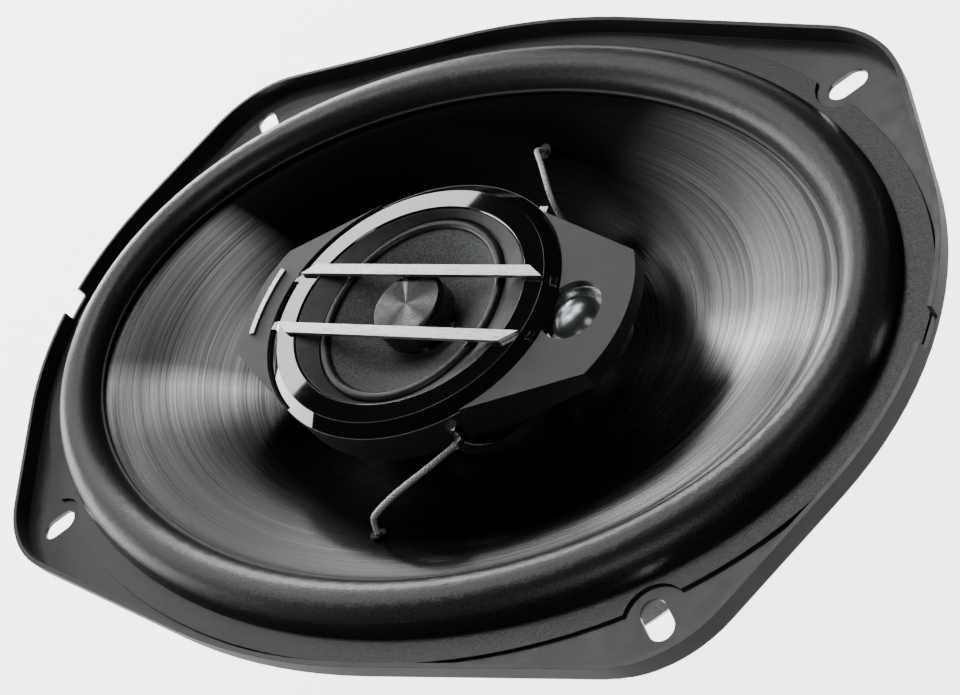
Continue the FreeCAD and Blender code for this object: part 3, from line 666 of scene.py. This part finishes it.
# Painted highlight and shade on the bullet as well, by where it lies round Z; 0 and 360 are the end away
# from the tweeter.
BULLET_PAINTED_FANS = [(0, 1.0), (70, 0.3), (135, 1.5), (160, 0.5), (190, 1.0), (215, 0.3), (290, 0.3),
                  (298, 2.0), (306, 0.2), (335, 0.2), (360, 1.0)]
paint_sheen_into_colour(chrome, painted_sheen_ramp(chrome, "Object", BULLET_PAINTED_FANS))
turned_way = part(chrome, "Tangent")
turned_way.direction_type = "RADIAL"
turned_way.axis = "Z"
chrome_shader = chrome.node_tree.nodes["Principled BSDF"]
chrome_shader.inputs["Anisotropic"].default_value = 0.85
wire(chrome, turned_way.outputs["Tangent"], chrome_shader.inputs["Tangent"])

# ------------------------------------------------------------------ tweeter
# A hard film dome a little over a centimetre across, behind a hole in the bridge, with a
# neodymium magnet in a steel cup behind it and a bright ring at the hole.
film = finish("metallised_dome_film", (0.34, 0.37, 0.38), 0.24, 0.9)
shade(film, grain(film, 300), (0.3, 0.33, 0.34), (0.38, 0.41, 0.42))
dull(film, grain(film, 200), 0.21, 0.26)
rounded("tweeter_dome", "tweeter_dome_film", 0.05 * MM, film)
dome_edge = rounded("tweeter_surround", "tweeter_dome_edge", 0.05 * MM, film)
let_go(dome_edge)
hang_between(dome_edge)
nickel = finish("nickel_plate", (0.6, 0.58, 0.54), 0.22, 1.0)
shade(nickel, grain(nickel, 500), (0.5, 0.48, 0.45), (0.68, 0.66, 0.62))
dull(nickel, grain(nickel, 900), 0.18, 0.3)
rounded("tweeter_magnet", "tweeter_magnet_disc", 0.1 * MM, nickel)
for node, made, slot in (("tweeter_cup", plating, "zinc"), ("tweeter_pole", plating, "zinc"),
                         ("tweeter_trim", bright, "bar_metal"), ("tweeter_coil", copper, "copper")):
    rounded(node, node + "_part", 0.06 * MM, made)

# ------------------------------------------------------------------- studio
# A pale table that glows a little under the speaker, four soft boxes close over it for the
# ring's reflections and the rest further out.
TABLE = 3.0
TABLE_GLOW = 4.0
TABLE_GAP = 0.0002
FAR = 1.1
bpy.ops.object.select_all(action="DESELECT")
bpy.ops.mesh.primitive_plane_add(size=2 * TABLE, location=(0, 0, cad_low.z - TABLE_GAP))
table = bpy.context.object
table.name = "pale_table"
pale = finish("pale_table_top", (0.86, 0.86, 0.86), 0.7)
pale_shader = pale.node_tree.nodes["Principled BSDF"]
pale_shader.inputs["Emission Color"].default_value = (1, 1, 1, 1)
pale_shader.inputs["Emission Strength"].default_value = TABLE_GLOW
table.data.materials.append(pale)


def soft_box(name, centre, wide, tall, power, aim=(0, 0, 0), turn=0.0):
    """A rectangular soft box that faces aim, or straight down if aim is None."""
    lamp = bpy.data.lights.new(name, "AREA")
    lamp.shape = "RECTANGLE"
    lamp.size = wide
    lamp.size_y = tall
    lamp.energy = power
    holder = bpy.data.objects.new(name, lamp)
    bpy.context.scene.collection.objects.link(holder)
    holder.location = centre
    holder.rotation_mode = "QUATERNION"
    twist = Matrix.Rotation(math.radians(turn), 4, "Z").to_quaternion()
    if aim is None:
        holder.rotation_quaternion = twist
    else:
        look = (Vector(aim) - Vector(centre)).to_track_quat("-Z", "Y")
        holder.rotation_quaternion = look @ twist


def far_box(name, round_from_x, above, wide, tall, power):
    """A soft box far out, at an angle round from +X and above the table, that faces the speaker."""
    level = FAR * math.cos(math.radians(above))
    x = level * math.cos(math.radians(round_from_x))
    y = level * math.sin(math.radians(round_from_x))
    soft_box(name, (x, y, FAR * math.sin(math.radians(above))), wide, tall, power)


soft_box("ring_box", (-0.590, 0.342, 0.5), 0.1, 0.28, 0.7, aim=None, turn=-26.9)
soft_box("right_strip", (-0.19, 0.32, 0.5), 0.13, 0.5, 0.65, aim=None)
soft_box("lower_strip", (-0.52, 0.09, 0.5), 0.45, 0.07, 0.3, aim=None)
soft_box("left_strip", (-0.87, 0.3, 0.5), 0.08, 0.36, 0.25, aim=None)
far_box("high_left", 168, 60, 0.3, 0.3, 1.1)
far_box("high_back", 120, 60, 0.3, 0.3, 0.9)
far_box("left_box", 180, 46, 0.3, 0.3, 0.6)
far_box("back_box", 126, 46, 0.3, 0.3, 0.5)
far_box("horizon_box", 150, 6, 0.6, 0.3, 8.5)
far_box("low_back", 144, 18, 0.3, 0.3, 0.8)
far_box("low_left", 188, 9, 0.6, 0.4, 6.0)
far_box("front_box", 288, 42, 0.3, 0.3, 1.2)
far_box("right_box", 0, 60, 0.3, 0.3, 0.45)
world = bpy.data.worlds.new("dim_studio")
world.use_nodes = True
world.node_tree.nodes["Background"].inputs["Color"].default_value = (1, 1, 1, 1)
world.node_tree.nodes["Background"].inputs["Strength"].default_value = 0.006
bpy.context.scene.world = world

# ------------------------------------------------------------------- camera
# A long lens above one long end, rolled a little.
CAMERA_PLACE = (0.24643, -0.15015, 0.2403)
CAMERA_RIGHT = (0.7745, 0.3629, -0.5182)
CAMERA_UP = (-0.0337, 0.8416, 0.539)
lens = bpy.data.cameras.new("camera")
lens.sensor_width = 36.0
lens.lens = 64.49
lens.clip_start = 0.01
camera = bpy.data.objects.new("camera", lens)
bpy.context.scene.collection.objects.link(camera)
right = Vector(CAMERA_RIGHT).normalized()
up = Vector(CAMERA_UP).normalized()
facing = Matrix((right, up, right.cross(up))).transposed().to_4x4()
camera.matrix_world = Matrix.Translation(CAMERA_PLACE) @ facing
bpy.context.scene.camera = camera
